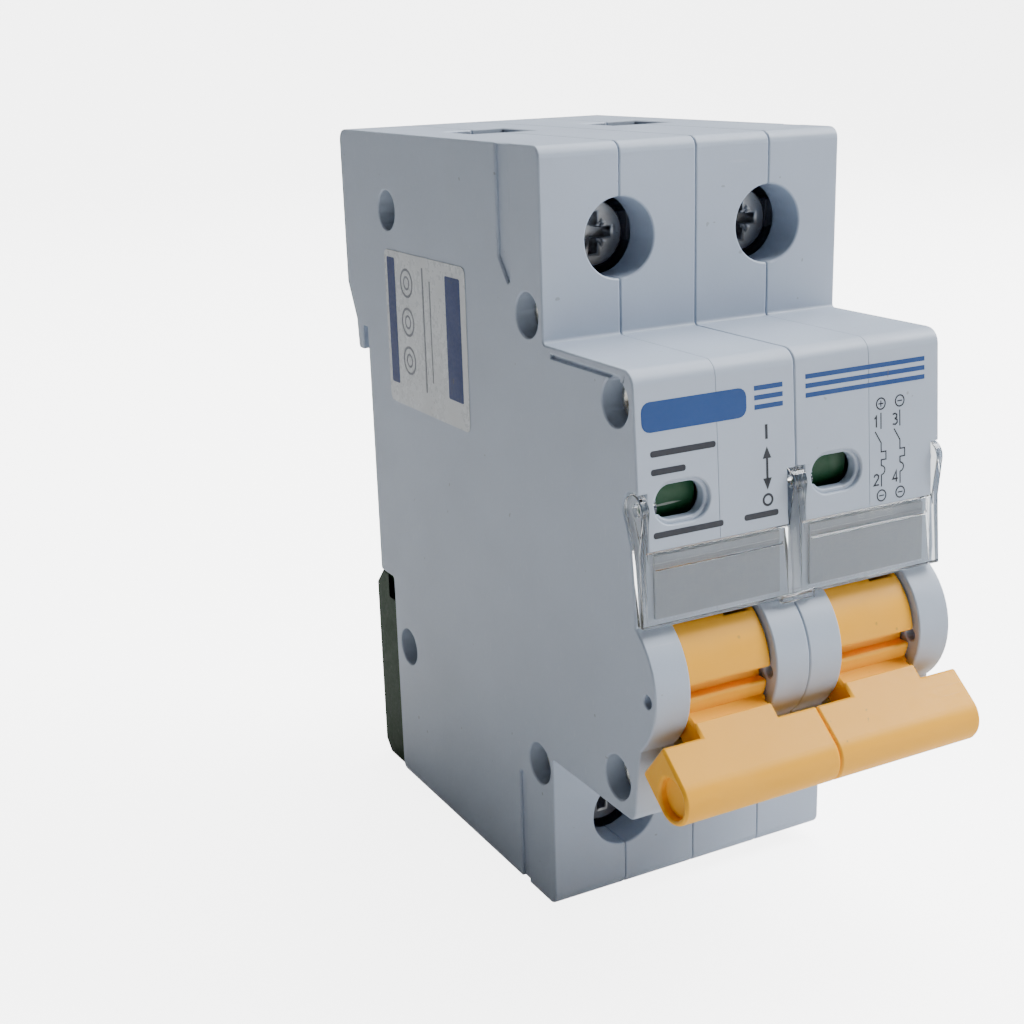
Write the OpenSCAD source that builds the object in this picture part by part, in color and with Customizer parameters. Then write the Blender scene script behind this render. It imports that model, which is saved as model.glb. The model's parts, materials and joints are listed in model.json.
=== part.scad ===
// Two-pole miniature circuit breaker for a 35 mm top-hat rail.
// X runs along the rail, the front faces -Y and Z is up. The origin is on the rail's centre line,
// in the plane of the front of the rail's flanges.

/* [Body] */
// Width of one pole along the rail
pole_pitch = 18; // [17:0.5:27]
// Height of the top face above the rail's centre line
top_z = 41.2; // [40:0.1:52]
// Depth of the bottom face below the rail's centre line
bottom_z = 39.8; // [38.5:0.1:50]
// Distance of the terminal blocks' front from the rail
block_front = 44; // [43:0.5:56]
// Distance of the raised nose's front from the rail, at its top edge
nose_front = 60.1; // [59:0.1:64]
// Height of the nose's top face above the rail's centre line
nose_top = 22.3; // [21.8:0.1:24]
// Depth of the nose's bottom face below the rail's centre line
nose_bottom = 22.2; // [21.8:0.1:23]
// Forward lean of the nose's face in degrees
face_lean = 4; // [2:0.5:5]
// Thickness of the outline wall
wall = 1.7; // [1.2:0.1:2]
// Thickness of the walls between the poles and at the ends
side_wall = 1.45; // [1:0.05:1.8]
// Gap in the seam between two shells
seam = 0.06; // [0.02:0.01:0.2]

/* [Rail] */
// Height of the rail that the back fits
rail_height = 35; // [35:0.1:35.6]
// Depth of the slot behind the rail's upper flange
rail_slot = 1.5; // [1.2:0.1:2.2]
// Distance that the back reaches behind the rail's flange
back_depth = 5.5; // [5:0.1:7]
// Distance of the lower back from the rail's flange
lower_back = 3.9; // [3:0.1:5]
// Overlap of the hook and the clip with the rail's flanges
flange_grip = 2.7; // [2:0.1:3.2]

/* [Handle] */
// Distance of the handle's pivot from the rail
pivot_depth = 56.1; // [55.5:0.1:57]
// Depth of the handle's pivot below the rail's centre line
pivot_drop = 8.4; // [8:0.1:9]
// Radius of the handle's drum
drum_r = 7; // [6:0.1:7.6]
// Radius of the horns beside the drum
horn_r = 7.7; // [7.4:0.1:8.2]
// Width of the opening for the drum
drum_gap = 10; // [9:0.1:11]
// Thickness of the bar at the handle's tip
bar_t = 5.2; // [4.4:0.1:5.6]
// Depth of the bar from its flat back to its round front
bar_l = 6.7; // [6:0.1:7.2]
// Distance of the bar's front from the pivot
bar_reach = 15.9; // [15.2:0.1:17]
// Angle of the handle below level when switched off
off_angle = 39.7; // [38:0.1:42]
// Turn of the handle from off to on
handle_swing = 67.7; // [60:0.1:68]
// Diameter of the hole for a sealing wire
seal_d = 1.3; // [1:0.1:1.6]

/* [Terminals] */
// Height of the upper terminal screws
upper_screw_z = 31.9; // [31.5:0.1:33]
// Depth of the lower terminal screws
lower_screw_z = 30.5; // [30:0.1:31]
// Diameter of the holes that the screwdriver enters
access_d = 8; // [7:0.1:9.6]
// Diameter of the terminal screws' heads
head_d = 6.8; // [6:0.1:8]
// Diameter of the terminal screws' threads
screw_d = 5; // [4:0.1:6]
// Width of a terminal cage
cage_w = 11; // [10:0.1:11.4]
// Height of a terminal cage
cage_h = 8.5; // [7:0.1:9]
// Wall of a terminal cage
cage_t = 1.25; // [1:0.05:1.8]
// Width of the copper straps
strap_w = 7.8; // [6:0.1:8]
// Thickness of the copper straps
strap_t = 1.4; // [1:0.1:1.6]
// Side of the square wire entries
entry = 8; // [6:0.1:8.4]

/* [Fasteners] */
// Diameter of the rivets' shanks
rivet_d = 2.4; // [2:0.1:3]
// Diameter of the counterbores for the rivets' heads
counterbore_d = 4.6; // [4:0.1:5]

/* [Fits] */
// Radial gap of a shaft that turns in a bore
running = 0.05; // [0.02:0.01:0.1]
// Gap around pieces that slide or swing past each other
gap = 0.3; // [0.2:0.05:0.4]

/* [Hidden] */
$fn = 48;

SHELL_GREY = [0.74, 0.76, 0.78];
HANDLE_AMBER = [0.95, 0.70, 0.36];
CLIP_GREEN = [0.10, 0.42, 0.28];
STEEL = [0.72, 0.73, 0.75];
ZINC = [0.55, 0.56, 0.58];
COPPER = [0.80, 0.48, 0.30];
SILVER = [0.86, 0.86, 0.85];
FIBRE = [0.62, 0.55, 0.42];
eps = 0.01;

// Half the width of a pole's solid, and where its hollow ends
half_w = (pole_pitch - seam) / 2;
inner_w = half_w - side_wall;

// Places in the side view, as [y, z]
pivot = [-pivot_depth, -pivot_drop];
function polar(r, a) = r * [cos(a), sin(a)];
// Front of the nose's face at a height z
function face_y(z) = -nose_front - (nose_top - z) * tan(face_lean);
inner_face_y = face_y(10) + wall;

// Marking cover, hinged at the top of its cheeks
cover_pivot = [face_y(9.4) + 0.9, 9.4];
cover_top = 5.4;
cover_bottom = -1.7;
cover_t = 0.9;
cover_recess = face_y(cover_top) + cover_t;
cover_boss_r = 1.6;
cover_pin_r = 0.65;
cover_cheek = 0.85;
cover_pin_l = 1.4;

// Rivets in the side view
rivet_at = [
    [-7.6, 32.5], [-40.9, 24.8], [-57.2, 19],
    [-7.6, -21.7], [-41.1, -23.8], [-57, -18.6]
];
rivet_boss_r = counterbore_d / 2 + 0.9;
counterbore_depth = 2.5;

// Switch linkage
crank_r = 3.6;
crank_angle = 35;
link_r = 0.5;
link_l = 9;
link_angle = 53.6;
link_x = 2.6;
axle_r = 2;
arm_pivot = [-39, -1];
arm_swing = handle_swing * 0.378;
arm_closed = -78;
arm_l = 14;
arm_half = 1.5;
arm_half_t = 1;
hub_r = 2.6;
hub_half = 4.4;
stub_r = 1.4;
stub_wall = 1.6;
pad_r = 1.8;
pad_t = 1.2;
tip_t = 1;
contact_gap = 0.08;
normal = polar(1, arm_closed + 90);
along = polar(1, arm_closed);
contact_face = arm_pivot + arm_l * along + (arm_half + pad_t + contact_gap) * normal;
fixed_t = 1;
fixed_centre = contact_face + (tip_t + fixed_t / 2) * normal;
runner_z = -17.6;
// Place of the link's rear end, a share t of the way from off to on
function link_end(t) =
    pivot + polar(crank_r, crank_angle - handle_swing * t) + polar(link_l, link_angle);
// The same place as the contact arm sees it, turned back to its closed pose
function turned(p, c, a) = c + [
    (p[0] - c[0]) * cos(a) - (p[1] - c[1]) * sin(a),
    (p[0] - c[0]) * sin(a) + (p[1] - c[1]) * cos(a)
];
function arm_slot(t) = turned(link_end(t), arm_pivot, arm_swing * (1 - t));

// Trip lever, trip bar and bimetal
trip_pivot = [-44.5, -17];
trip_leg_t = 1.6;
trip_hub_r = 2;
trip_pin_r = 1;
trip_bar_z = -7;
trip_bar_r = 1;
bimetal_t = 0.8;
bimetal_low = -16;
bimetal_top = -3.4;
foot_y = -40.8;
foot_t = 1.2;
foot_z = -19.6;
low_left = -inner_w + 0.3;
foot_right = -4.2;

// Coil and plunger, on one level axis
coil_z = 12;
coil_front = -37;
coil_back = -23;
coil_r = 5.2;
coil_bore_r = 3.2;
wire_r = 0.85;
frame_t = 1.2;
core_r = 2.9;
core_l = 4.5;
push_pin_r = 0.8;
push_pin_tip = -39.2;
plunger_r = 2.5;
plunger_front = -28.8;
plunger_back = -20.6;
pad_gap = 0.6;

// Arc chute
plate_count = 8;
plate_pitch = 2.4;
plate_t = 1;
plate_low = -15.6;
plate_front = -28.6;
plate_back = -8;
cheek_in = inner_w - 1.05;
cheek_t = 0.85;

// Position flag behind each window
window_x = -4.1;
window_w = 5.4;
window_h = 3.3;
window_z = 9.8;
window_rim = 0.4;
flag_pivot = [inner_face_y + 4.45, 10];
flag_r = 4.2;
flag_pin_r = 1;

// Terminals: distances in front of the rail
strap_face = 22;
head_back = 36.2;
head_front = 39;
tube_back = 39.5;
cage_open_front = 29.5;
cage_l = 18.4;
cage_front_t = 2.4;
tube_wall = 1.2;
cage_guide = 1.5;
upper_bus_z = 20.6;
groove_back = -33.8;

// Clip that holds the rail's lower flange
clip_half = inner_w - 0.12;
clip_drop = 1.5;
clip_travel = 5.5;
stem_half = 3;
stem_head_half = 4.9;
stem_top = -25.3;
stem_h = 6;
lower_flange = -rail_height / 2;

// ---- Outlines ------------------------------------------------------------------------------------

function unit(v) = v / norm(v);
// Arc that rounds the corner b between its neighbours a and c, with radius r
function corner(a, b, c, r, n = 5) =
    r <= 0 ? [b] :
    let (u = unit(a - b), v = unit(c - b), h = acos(max(-1, min(1, u * v))) / 2)
    let (m = b + unit(u + v) * r / sin(h))
    let (p = b + u * r / tan(h) - m, q = b + v * r / tan(h) - m)
    let (s = atan2(p[1], p[0]), d = (atan2(q[1], q[0]) - s + 540) % 360 - 180)
    [for (i = [0 : n]) m + polar(r, s + d * i / n)];
// Outline from points given as [y, z, corner radius]
function rounded(p) = [
    for (i = [0 : len(p) - 1])
        let (a = p[(i + len(p) - 1) % len(p)], b = p[i], c = p[(i + 1) % len(p)])
        each corner([a[0], a[1]], [b[0], b[1]], [c[0], c[1]], b[2])
];

// Pushes a side-view outline along X from x0 to x1
module along_x(x0, x1) {
    translate([x0, 0, 0]) rotate([90, 0, 90]) linear_extrude(x1 - x0) children();
}
// Pushes a front-view outline, x across and z up, from y0 back to y1
module along_y(y0, y1) {
    translate([0, y1, 0]) rotate([90, 0, 0]) linear_extrude(y1 - y0) children();
}
// The same along X, from a to b outwards from a pole's middle; side is -1 or 1
module outward(side, a, b) {
    if (side > 0) along_x(a, b) children();
    else along_x(-b, -a) children();
}
// Box between two corners
module block(low, high) {
    translate(low) cube(high - low);
}
// Flat strip of thickness t along a bent path, in the side view
module strip(points, t) {
    for (i = [0 : len(points) - 2]) {
        d = points[i + 1] - points[i];
        translate(points[i]) rotate(atan2(d[1], d[0])) translate([0, -t / 2]) square([norm(d), t]);
        translate(points[i]) circle(d = t);
    }
    translate(points[len(points) - 1]) circle(d = t);
}
module disc(p, r) {
    translate(p) circle(r);
}
// Rectangle with round ends, centred at p
module stadium(p, w, h) {
    translate(p) {
        square([w - h, h], center = true);
        for (s = [-1, 1]) translate([s * (w - h) / 2, 0]) circle(d = h);
    }
}
// Helical wire about the X axis from x = 0 to x = length
module coil_wire(mean_r, wire, turns, length, sides = 6, per_turn = 14) {
    n = round(turns * per_turn);
    points = [
        for (i = [0 : n], j = [0 : sides - 1])
            let (a = 360 * turns * i / n, b = 360 * j / sides, r = mean_r + wire * cos(b))
            [length * i / n + wire * sin(b), r * cos(a), r * sin(a)]
    ];
    ends = [[for (j = [0 : sides - 1]) j], [for (j = [sides - 1 : -1 : 0]) n * sides + j]];
    skin = [
        for (i = [0 : n - 1], j = [0 : sides - 1])
            let (k = i * sides, m = (j + 1) % sides)
            each [[k + j, k + sides + j, k + sides + m], [k + j, k + sides + m, k + m]]
    ];
    polyhedron(points, concat(ends, skin));
}
// Puts a pole's pieces at its middle; pole is 1 or 2
module at_pole(pole) {
    translate([(pole - 1.5) * pole_pitch, 0, 0]) children();
}
// Puts a terminal's pieces, drawn at z = 0 with the wire entry above, at the top or the bottom
module at_terminal(upper) {
    if (upper) translate([0, 0, upper_screw_z]) children();
    else translate([0, 0, -lower_screw_z]) mirror([0, 0, 1]) children();
}

// ---- Case ----------------------------------------------------------------------------------------

hook_top = rail_height / 2 + 0.3;
notch_low = -rail_height / 2 + 4;
hook_low = rail_height / 2 - flange_grip;
tab_y = pivot[0] - sqrt(horn_r * horn_r - 36) - 0.1;

module case_outline() {
    polygon(rounded([
        [back_depth, top_z, 1.4], [-block_front, top_z, 1.2], [-block_front, nose_top, 0.4],
        [-nose_front, nose_top, 1.6], [face_y(cover_top + 0.1), cover_top + 0.1, 0],
        [cover_recess, cover_top + 0.1, 0], [cover_recess, pivot[1] + 5, 0],
        [tab_y, pivot[1] - 6, 0], [-nose_front, -nose_bottom, 1.1], [-block_front, -nose_bottom, 0.4],
        [-block_front, -bottom_z, 1.2], [-lower_back, -bottom_z, 0.8], [-lower_back, notch_low, 0.5],
        [0, notch_low, 0.4], [0, hook_top, 0], [rail_slot, hook_top, 0], [rail_slot, hook_low, 0.3],
        [rail_slot + 1.5, hook_low, 0.5], [rail_slot + 1.8, hook_top + 0.6, 0.5],
        [back_depth, hook_top + 5, 0.8]
    ]));
}
module case_hollow() {
    polygon(rounded([
        [back_depth - wall, top_z - wall, 0.5], [wall - block_front, top_z - wall, 0.5],
        [wall - block_front, nose_top - wall, 0], [face_y(nose_top) + wall, nose_top - wall, 0.5],
        [face_y(cover_top) + wall, cover_top + 2, 0], [cover_recess + wall, cover_top, 0],
        [cover_recess + wall, pivot[1] - 5, 0], [wall - nose_front, wall - nose_bottom, 0.5],
        [wall - block_front, wall - nose_bottom, 0], [wall - block_front, wall - bottom_z, 0.5],
        [-lower_back - wall, wall - bottom_z, 0.5], [-lower_back - wall, notch_low + wall, 0.3],
        [-wall, notch_low + wall, 0.3], [-wall, hook_top + 2.5, 0],
        [back_depth - wall, hook_top + 6.2, 0]
    ]));
}
// Cheek of the marking cover, grown by c; the case has a pocket of the same outline
module cheek_outline(c) {
    disc(cover_pivot, cover_boss_r + c);
    polygon([
        cover_pivot + [-cover_boss_r - c, 0], cover_pivot + [cover_boss_r + c, 0],
        [cover_pivot[0] + 0.3 + c, 6], [cover_recess - 0.35 + c, cover_bottom - c],
        [face_y(cover_bottom) - c, cover_bottom - c], [face_y(cover_top) - c, cover_top]
    ]);
}
// Space that the handle's neck sweeps past the lower edge of the drum's opening
module neck_room() {
    translate(pivot) rotate(180 + off_angle) translate([0, -2]) square([horn_r + 6, 4.2]);
}
// Everything that is added inside one half shell
module half_inside(side) {
    for (p = rivet_at) outward(side, seam / 2, half_w - eps) intersection() {
        disc(p, rivet_boss_r);
        offset(delta = -eps) case_outline();
    }
    outward(side, drum_gap / 2, half_w - eps) disc(pivot, horn_r - 1);
    outward(side, hub_half + 0.2, half_w - eps) disc(arm_pivot, stub_r + stub_wall);
    // Thick places that hold the marking cover's pins
    outward(side, half_w - 3.2, half_w - eps) intersection() {
        case_outline();
        translate([inner_face_y - 4, cover_pivot[1] - 2.5]) square([4.2, 5]);
    }
    for (upper = [true, false]) at_terminal(upper) {
        // Tube behind the screwdriver's hole, partition and the rails that guide the cage
        intersection() {
            along_y(-block_front + 0.5, -tube_back) disc([0, 0], access_d / 2 + tube_wall);
            outward(side, seam / 2, half_w) translate([-block_front, -10]) square([10, 20]);
        }
        outward(side, seam / 2, half_w - eps) translate([wall - block_front - eps, -7.4])
            square([block_front - wall - 10, 1.3]);
        outward(side, cage_w / 2 + gap, half_w - eps) translate([-36, -cage_guide])
            square([25, 2 * cage_guide]);
    }
    if (side < 0) {
        outward(side, inner_w - 6.2, half_w - eps) disc(flag_pivot, flag_pin_r);
        outward(side, -low_left - 2.6, half_w - eps) disc(trip_pivot, trip_pin_r);
    }
}
// Everything that is cut from one half shell; inner is true where the other pole is behind it
module half_cuts(side, inner) {
    for (p = rivet_at) {
        outward(side, -1, half_w + 1) disc(p, rivet_d / 2 + running);
        if (!inner) outward(side, half_w - counterbore_depth, half_w + 1) disc(p, counterbore_d / 2);
    }
    // Drum opening, axle bore and room for the handle's neck
    outward(side, -1, drum_gap / 2) {
        disc(pivot, drum_r + gap);
        neck_room();
    }
    outward(side, 0, drum_gap / 2 + 2.6) disc(pivot, axle_r + running);
    outward(side, 0, half_w + 1) disc(pivot + [1.4 - horn_r, -0.2], seal_d / 2);
    outward(side, 0, inner_w) disc(arm_pivot, stub_r + running);
    // Pocket and pin hole for the marking cover
    outward(side, half_w - cover_cheek - 0.1, half_w + 1) cheek_outline(0.15);
    outward(side, half_w - cover_cheek - cover_pin_l - gap, half_w + 1)
        disc(cover_pivot, cover_pin_r + running);
    for (upper = [true, false]) at_terminal(upper) {
        along_y(-block_front - 1, -tube_back + 1) disc([0, 0], access_d / 2);
        block([-entry / 2, -strap_face + 1.4, 0], [entry / 2, -strap_face + 1.4 + entry, 20]);
        block([-strap_w / 2 - gap, -strap_face - gap, -9],
              [strap_w / 2 + gap, -strap_face + strap_t + gap, 0]);
    }
    // Slot and room for the clip's stem
    block([-stem_half - 0.1, -lower_back - wall - 1, stem_top - stem_h - clip_travel - gap],
          [stem_half + 0.1, 1, stem_top + gap]);
    // Window with a sunken rim
    if (side < 0) {
        along_y(-nose_front - 5, inner_face_y + 0.6) stadium([window_x, window_z], window_w, window_h);
        translate([0, face_y(window_z), window_z]) rotate([-face_lean, 0, 0]) along_y(-2, window_rim)
            stadium([window_x, 0], window_w + 2 * window_rim, window_h + 2 * window_rim);
    }
    // Slot that the trip bar swings in
    if (inner) outward(side, 0, half_w + 1)
        translate([trip_pivot[0] - trip_bar_r - 1.1, trip_bar_z - trip_bar_r - gap])
            square([2 * trip_bar_r + 1.4, 2 * (trip_bar_r + gap)]);
    // Shallow lines on the end faces
    if (!inner) outward(side, half_w - 0.35, half_w + 1) {
        polygon(rounded([
            [groove_back - 1.3, top_z + 1, 0], [groove_back - 1.3, 30, 1], [groove_back - 3.5, 27.2, 0.3],
            [groove_back - 4.1, 29, 1], [groove_back - 4.1, top_z + 1, 0]
        ]));
        polygon(rounded([
            [groove_back - 4.2, -bottom_z - 1, 0], [groove_back - 2.6, -bottom_z - 1, 0],
            [groove_back - 2.6, -26.3, 0.7], [groove_back - 4.2, -26.3, 0.7]
        ]));
        translate([2 - nose_front, nose_top - 1.1]) square([nose_front - block_front - 3.5, 0.35]);
    }
}
module case_half(side, inner) {
    difference() {
        union() {
            difference() {
                outward(side, seam / 2, half_w) case_outline();
                outward(side, -1, inner_w) case_hollow();
            }
            half_inside(side);
            outward(side, drum_gap / 2, half_w) disc(pivot, horn_r);
        }
        half_cuts(side, inner);
    }
}
module case_1_left() { color(SHELL_GREY) at_pole(1) case_half(-1, false); }
module case_1_right() { color(SHELL_GREY) at_pole(1) case_half(1, true); }
module case_2_left() { color(SHELL_GREY) at_pole(2) case_half(-1, true); }
module case_2_right() { color(SHELL_GREY) at_pole(2) case_half(1, false); }

// Tubular rivets right through both poles, with a rolled head at each end
module rivets() {
    ends = pole_pitch / 2 + half_w - counterbore_depth;
    color(STEEL) for (p = rivet_at) difference() {
        union() {
            along_x(-ends, ends) disc(p, rivet_d / 2);
            for (s = [-1, 1]) outward(s, ends + eps, ends + 0.65) disc(p, counterbore_d / 2 - 0.2);
            for (s = [-1, 1]) outward(s, ends - 1, ends + 0.65) disc(p, rivet_d / 2);
        }
        for (s = [-1, 1]) outward(s, ends - 2.5, ends + 1) disc(p, rivet_d / 2 - 0.45);
    }
}
// Thin film on the left end
module side_label() {
    face = pole_pitch / 2 + half_w;
    color([0.85, 0.87, 0.88]) along_x(-face - 0.1, -face) translate([-27.5, 10]) square([21, 18]);
}

// ---- Marking cover -------------------------------------------------------------------------------

module label_cover() {
    edge = pole_pitch / 2 + half_w - 0.02;
    color([0.80, 0.86, 0.90, 0.45]) {
        difference() {
            union() {
                along_x(-edge, edge) polygon([
                    [face_y(cover_top) + 0.02, cover_top], [face_y(cover_bottom) - 0.1, cover_bottom],
                    [cover_recess - 0.35, cover_bottom], [cover_recess - 0.35, cover_top]
                ]);
                for (s = [-1, 1]) outward(s, edge - cover_cheek, edge) cheek_outline(0);
                along_x(-cover_cheek, cover_cheek) cheek_outline(0);
                for (s = [-1, 1]) {
                    outward(s, edge - cover_cheek - cover_pin_l, edge - eps) disc(cover_pivot, cover_pin_r);
                    outward(s, 0, cover_cheek + cover_pin_l) disc(cover_pivot, cover_pin_r);
                }
                along_x(-2, 2) translate([face_y(cover_bottom) - 0.1, cover_bottom - 0.6]) square([0.7, 1]);
            }
            // Long shallow steps that frame the marking field of each pole
            for (p = [-0.5, 0.5]) translate([p * pole_pitch, 0, 0])
                block([-half_w + 1.7, face_y(cover_top) - 1, cover_top - 1.7],
                      [half_w - 1.7, face_y(cover_top) + 0.15, cover_top - 1.45]);
        }
    }
}
module label_insert() {
    color([0.93, 0.94, 0.94]) block([-half_w + 1.8, cover_recess - 0.33, cover_bottom + 0.5],
                                    [half_w - 1.8, cover_recess - 0.08, cover_top - 0.5]);
}
module label_insert_1() { at_pole(1) label_insert(); }
module label_insert_2() { at_pole(2) label_insert(); }

// ---- Handle and linkage --------------------------------------------------------------------------

drum_half = drum_gap / 2 - 0.15;
bar_back = bar_reach - bar_l;
bar_centre = pivot + polar(bar_reach - bar_t / 2, 180 + off_angle);
neck_t = 3.6;
neck_half = drum_gap / 2 - 0.5;
tie_r = 1.25;
dish_r = bar_t / 2 - 0.6;
dish_depth = 0.8;

// Wedge between two directions, used to cut the drum
module wedge(a, b, r) {
    polygon([[0, 0], polar(r, a), polar(r, (2 * a + b) / 3), polar(r, (a + 2 * b) / 3), polar(r, b)]);
}
// Section of the bar with the handle level: flat at the back, round in front
module bar_section() {
    translate([bar_reach - bar_t / 2, 0]) circle(bar_t / 2);
    translate([bar_back, -bar_t / 2]) square([bar_l - bar_t / 2, bar_t]);
}
// Moulded handle of one pole; tied is the side, -1 or 1, of the hole for the tie pin
module handle(tied) {
    crank = pivot + polar(crank_r, crank_angle);
    color(HANDLE_AMBER) difference() {
        union() {
            along_x(-drum_half, drum_half) disc(pivot, drum_r);
            along_x(-drum_gap / 2 - 2.4, drum_gap / 2 + 2.4) disc(pivot, axle_r);
            along_x(-neck_half, neck_half) translate(pivot) rotate(180 + off_angle)
                translate([drum_r - 2, -bar_t / 2]) square([bar_back - drum_r + 3, neck_t]);
            along_x(-half_w, half_w) translate(pivot) rotate(180 + off_angle) bar_section();
        }
        // Groove for the sealing wire, and the lower step beside the neck
        along_x(-half_w, half_w) translate(pivot) rotate(181.8) translate([5.3, -0.75]) square([3, 1.5]);
        along_x(-half_w, half_w) translate(pivot) difference() {
            rotate(184) wedge(0, off_angle - 20, drum_r + 1);
            circle(drum_r - 0.45);
        }
        // Slot that the link swings in, its hole, and the recess for the spring
        along_x(link_x - 1.2, link_x + 1.4) translate(pivot) difference() {
            wedge(-25, 125, 2 * drum_r);
            circle(axle_r + 0.3);
        }
        along_x(-2, link_x) disc(crank, link_r + running);
        along_x(-drum_half - 1, -1.6) difference() {
            disc(pivot, 3.7);
            disc(pivot, axle_r);
        }
        // Hole for the pin that ties the two handles, and the dished far end
        outward(tied, half_w - 5, half_w + 1) disc(bar_centre, tie_r + running);
        outward(-tied, half_w - dish_depth, half_w + 1) disc(bar_centre, dish_r);
    }
}
module handle_1() { at_pole(1) handle(1); }
module handle_2() { at_pole(2) handle(-1); }
module handle_tie_pin() {
    color(STEEL) along_x(-4.6, 4.6) disc(bar_centre, tie_r);
}
module handle_spring() {
    color(STEEL) translate([-4.3, pivot[0], pivot[1]]) coil_wire(3, 0.3, 3, 2.3);
}
module handle_spring_1() { at_pole(1) handle_spring(); }
module handle_spring_2() { at_pole(2) handle_spring(); }

// Bent wire from the handle's crank to the contact arm
module link() {
    crank = pivot + polar(crank_r, crank_angle);
    color(STEEL) {
        along_x(-1, link_x + link_r) disc(crank, link_r);
        along_x(-arm_half_t - 0.5, link_x + link_r) disc(link_end(0), link_r);
        translate([link_x, crank[0], crank[1]])
            rotate([link_angle - 90, 0, 0]) cylinder(r = link_r - 0.04, h = link_l);
    }
}
module link_1() { at_pole(1) link(); }
module link_2() { at_pole(2) link(); }

// ---- Contacts ------------------------------------------------------------------------------------

// Turns a piece drawn in the closed pose back to the open pose
module opened() {
    translate([0, arm_pivot[0], arm_pivot[1]]) rotate([-arm_swing, 0, 0])
        translate([0, -arm_pivot[0], -arm_pivot[1]]) children();
}
module contact_arm() {
    slot = [for (t = [0 : 0.25 : 1]) arm_slot(t)];
    nose = arm_slot(0.5);
    color(COPPER) opened() difference() {
        union() {
            along_x(-arm_half_t, arm_half_t) {
                strip([arm_pivot + (arm_l + 1) * along, arm_pivot, nose], 2 * arm_half);
                disc(nose, 2.1);
            }
            along_x(-hub_half, hub_half) disc(arm_pivot, hub_r);
            along_x(-inner_w + 0.2, inner_w - 0.2) disc(arm_pivot, stub_r);
        }
        along_x(-2, 2) strip(slot, 2 * link_r + 0.5);
    }
}
module contact_arm_1() { at_pole(1) contact_arm(); }
module contact_arm_2() { at_pole(2) contact_arm(); }

// Round silver pad with its back at p, facing the way that the contact moves
module silver_pad(p, t) {
    color(SILVER) translate([0, p[0], p[1]]) rotate([arm_closed, 0, 0]) cylinder(r = pad_r, h = t);
}
module moving_contact() {
    opened() silver_pad(arm_pivot + arm_l * along + arm_half * normal, pad_t);
}
module moving_contact_1() { at_pole(1) moving_contact(); }
module moving_contact_2() { at_pole(2) moving_contact(); }

module fixed_contact() {
    top = fixed_centre - 3.4 * along;
    color(COPPER) {
        along_x(-2.5, 2.5) strip([
            [-31.3, 3.05], top, fixed_centre + 2.6 * along,
            [fixed_centre[0] + 2.6, runner_z], [plate_back - 4, runner_z]
        ], fixed_t);
        block([-2.5, -36.2, 3.05 - fixed_t / 2], [inner_w - 1, -31.3, 3.05 + fixed_t / 2]);
    }
}
module fixed_contact_1() { at_pole(1) fixed_contact(); }
module fixed_contact_2() { at_pole(2) fixed_contact(); }
module fixed_contact_tips() {
    for (pole = [1, 2]) at_pole(pole) silver_pad(contact_face, tip_t);
}

// ---- Trip parts ----------------------------------------------------------------------------------

module trip_lever() {
    y = trip_pivot[0];
    left = low_left;
    color([0.25, 0.26, 0.28]) difference() {
        union() {
            along_x(left, left + 1.6) {
                disc(trip_pivot, trip_hub_r);
                translate([y - trip_leg_t / 2, trip_pivot[1]])
                    square([trip_leg_t, coil_z + 1.5 - trip_pivot[1]]);
                disc([y, trip_bar_z], trip_bar_r + 0.9);
            }
            block([left, y - trip_leg_t / 2, coil_z - 1.5], [1.4, y + trip_leg_t / 2, coil_z + 1.5]);
            block([-1.4, y, coil_z - 1.2], [1.4, push_pin_tip - pad_gap, coil_z + 1.2]);
        }
        along_x(left - 1, left + 2) {
            disc(trip_pivot, trip_pin_r + running);
            disc([y, trip_bar_z], trip_bar_r + running);
        }
    }
}
module trip_lever_1() { at_pole(1) trip_lever(); }
module trip_lever_2() { at_pole(2) trip_lever(); }
module trip_bar() {
    color(STEEL) along_x(-pole_pitch / 2 + low_left - 0.1, pole_pitch / 2 + low_left + 1.8)
        disc([trip_pivot[0], trip_bar_z], trip_bar_r);
}
module indicator() {
    x0 = window_x - window_w / 2;
    color([0.15, 0.55, 0.35]) difference() {
        union() {
            along_x(x0, window_x + window_w / 2) translate(flag_pivot) {
                circle(1.9);
                difference() {
                    rotate(118) intersection() {
                        wedge(0, 110, 3 * flag_r);
                        circle(flag_r);
                    }
                    circle(1.5);
                }
            }
            along_x(-3.4, -2) strip([flag_pivot, flag_pivot + [0.9, -8.4]], 1.4);
        }
        along_x(x0 - 1, window_x + window_w / 2 + 1) disc(flag_pivot, flag_pin_r + running);
    }
}
module indicator_1() { at_pole(1) indicator(); }
module indicator_2() { at_pole(2) indicator(); }

// Winding drawn as touching turns, with a lead to the strap and one to the fixed contact
module coil() {
    turns = floor((coil_back - coil_front) / (2 * wire_r));
    pitch = (coil_back - coil_front) / turns;
    color(COPPER) {
        translate([0, coil_front, coil_z]) rotate([-90, 0, 0]) rotate_extrude() union() {
            translate([coil_bore_r, 0.4])
                square([coil_r - coil_bore_r - wire_r, coil_back - coil_front - 0.8]);
            for (i = [0 : turns - 1]) translate([coil_r - wire_r, (i + 0.5) * pitch]) circle(pitch / 2);
        }
        along_x(-wire_r, wire_r) strip([
            [coil_back - 1.6, coil_z + 4], [coil_back - 1.6, upper_bus_z],
            [-strap_face - wire_r - 0.05, upper_bus_z]
        ], 2 * wire_r);
        block([4, coil_front + 1.2, 3.7], [4 + 2 * wire_r, coil_front + 1.2 + 2 * wire_r, coil_z]);
    }
}
module coil_1() { at_pole(1) coil(); }
module coil_2() { at_pole(2) coil(); }

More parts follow.
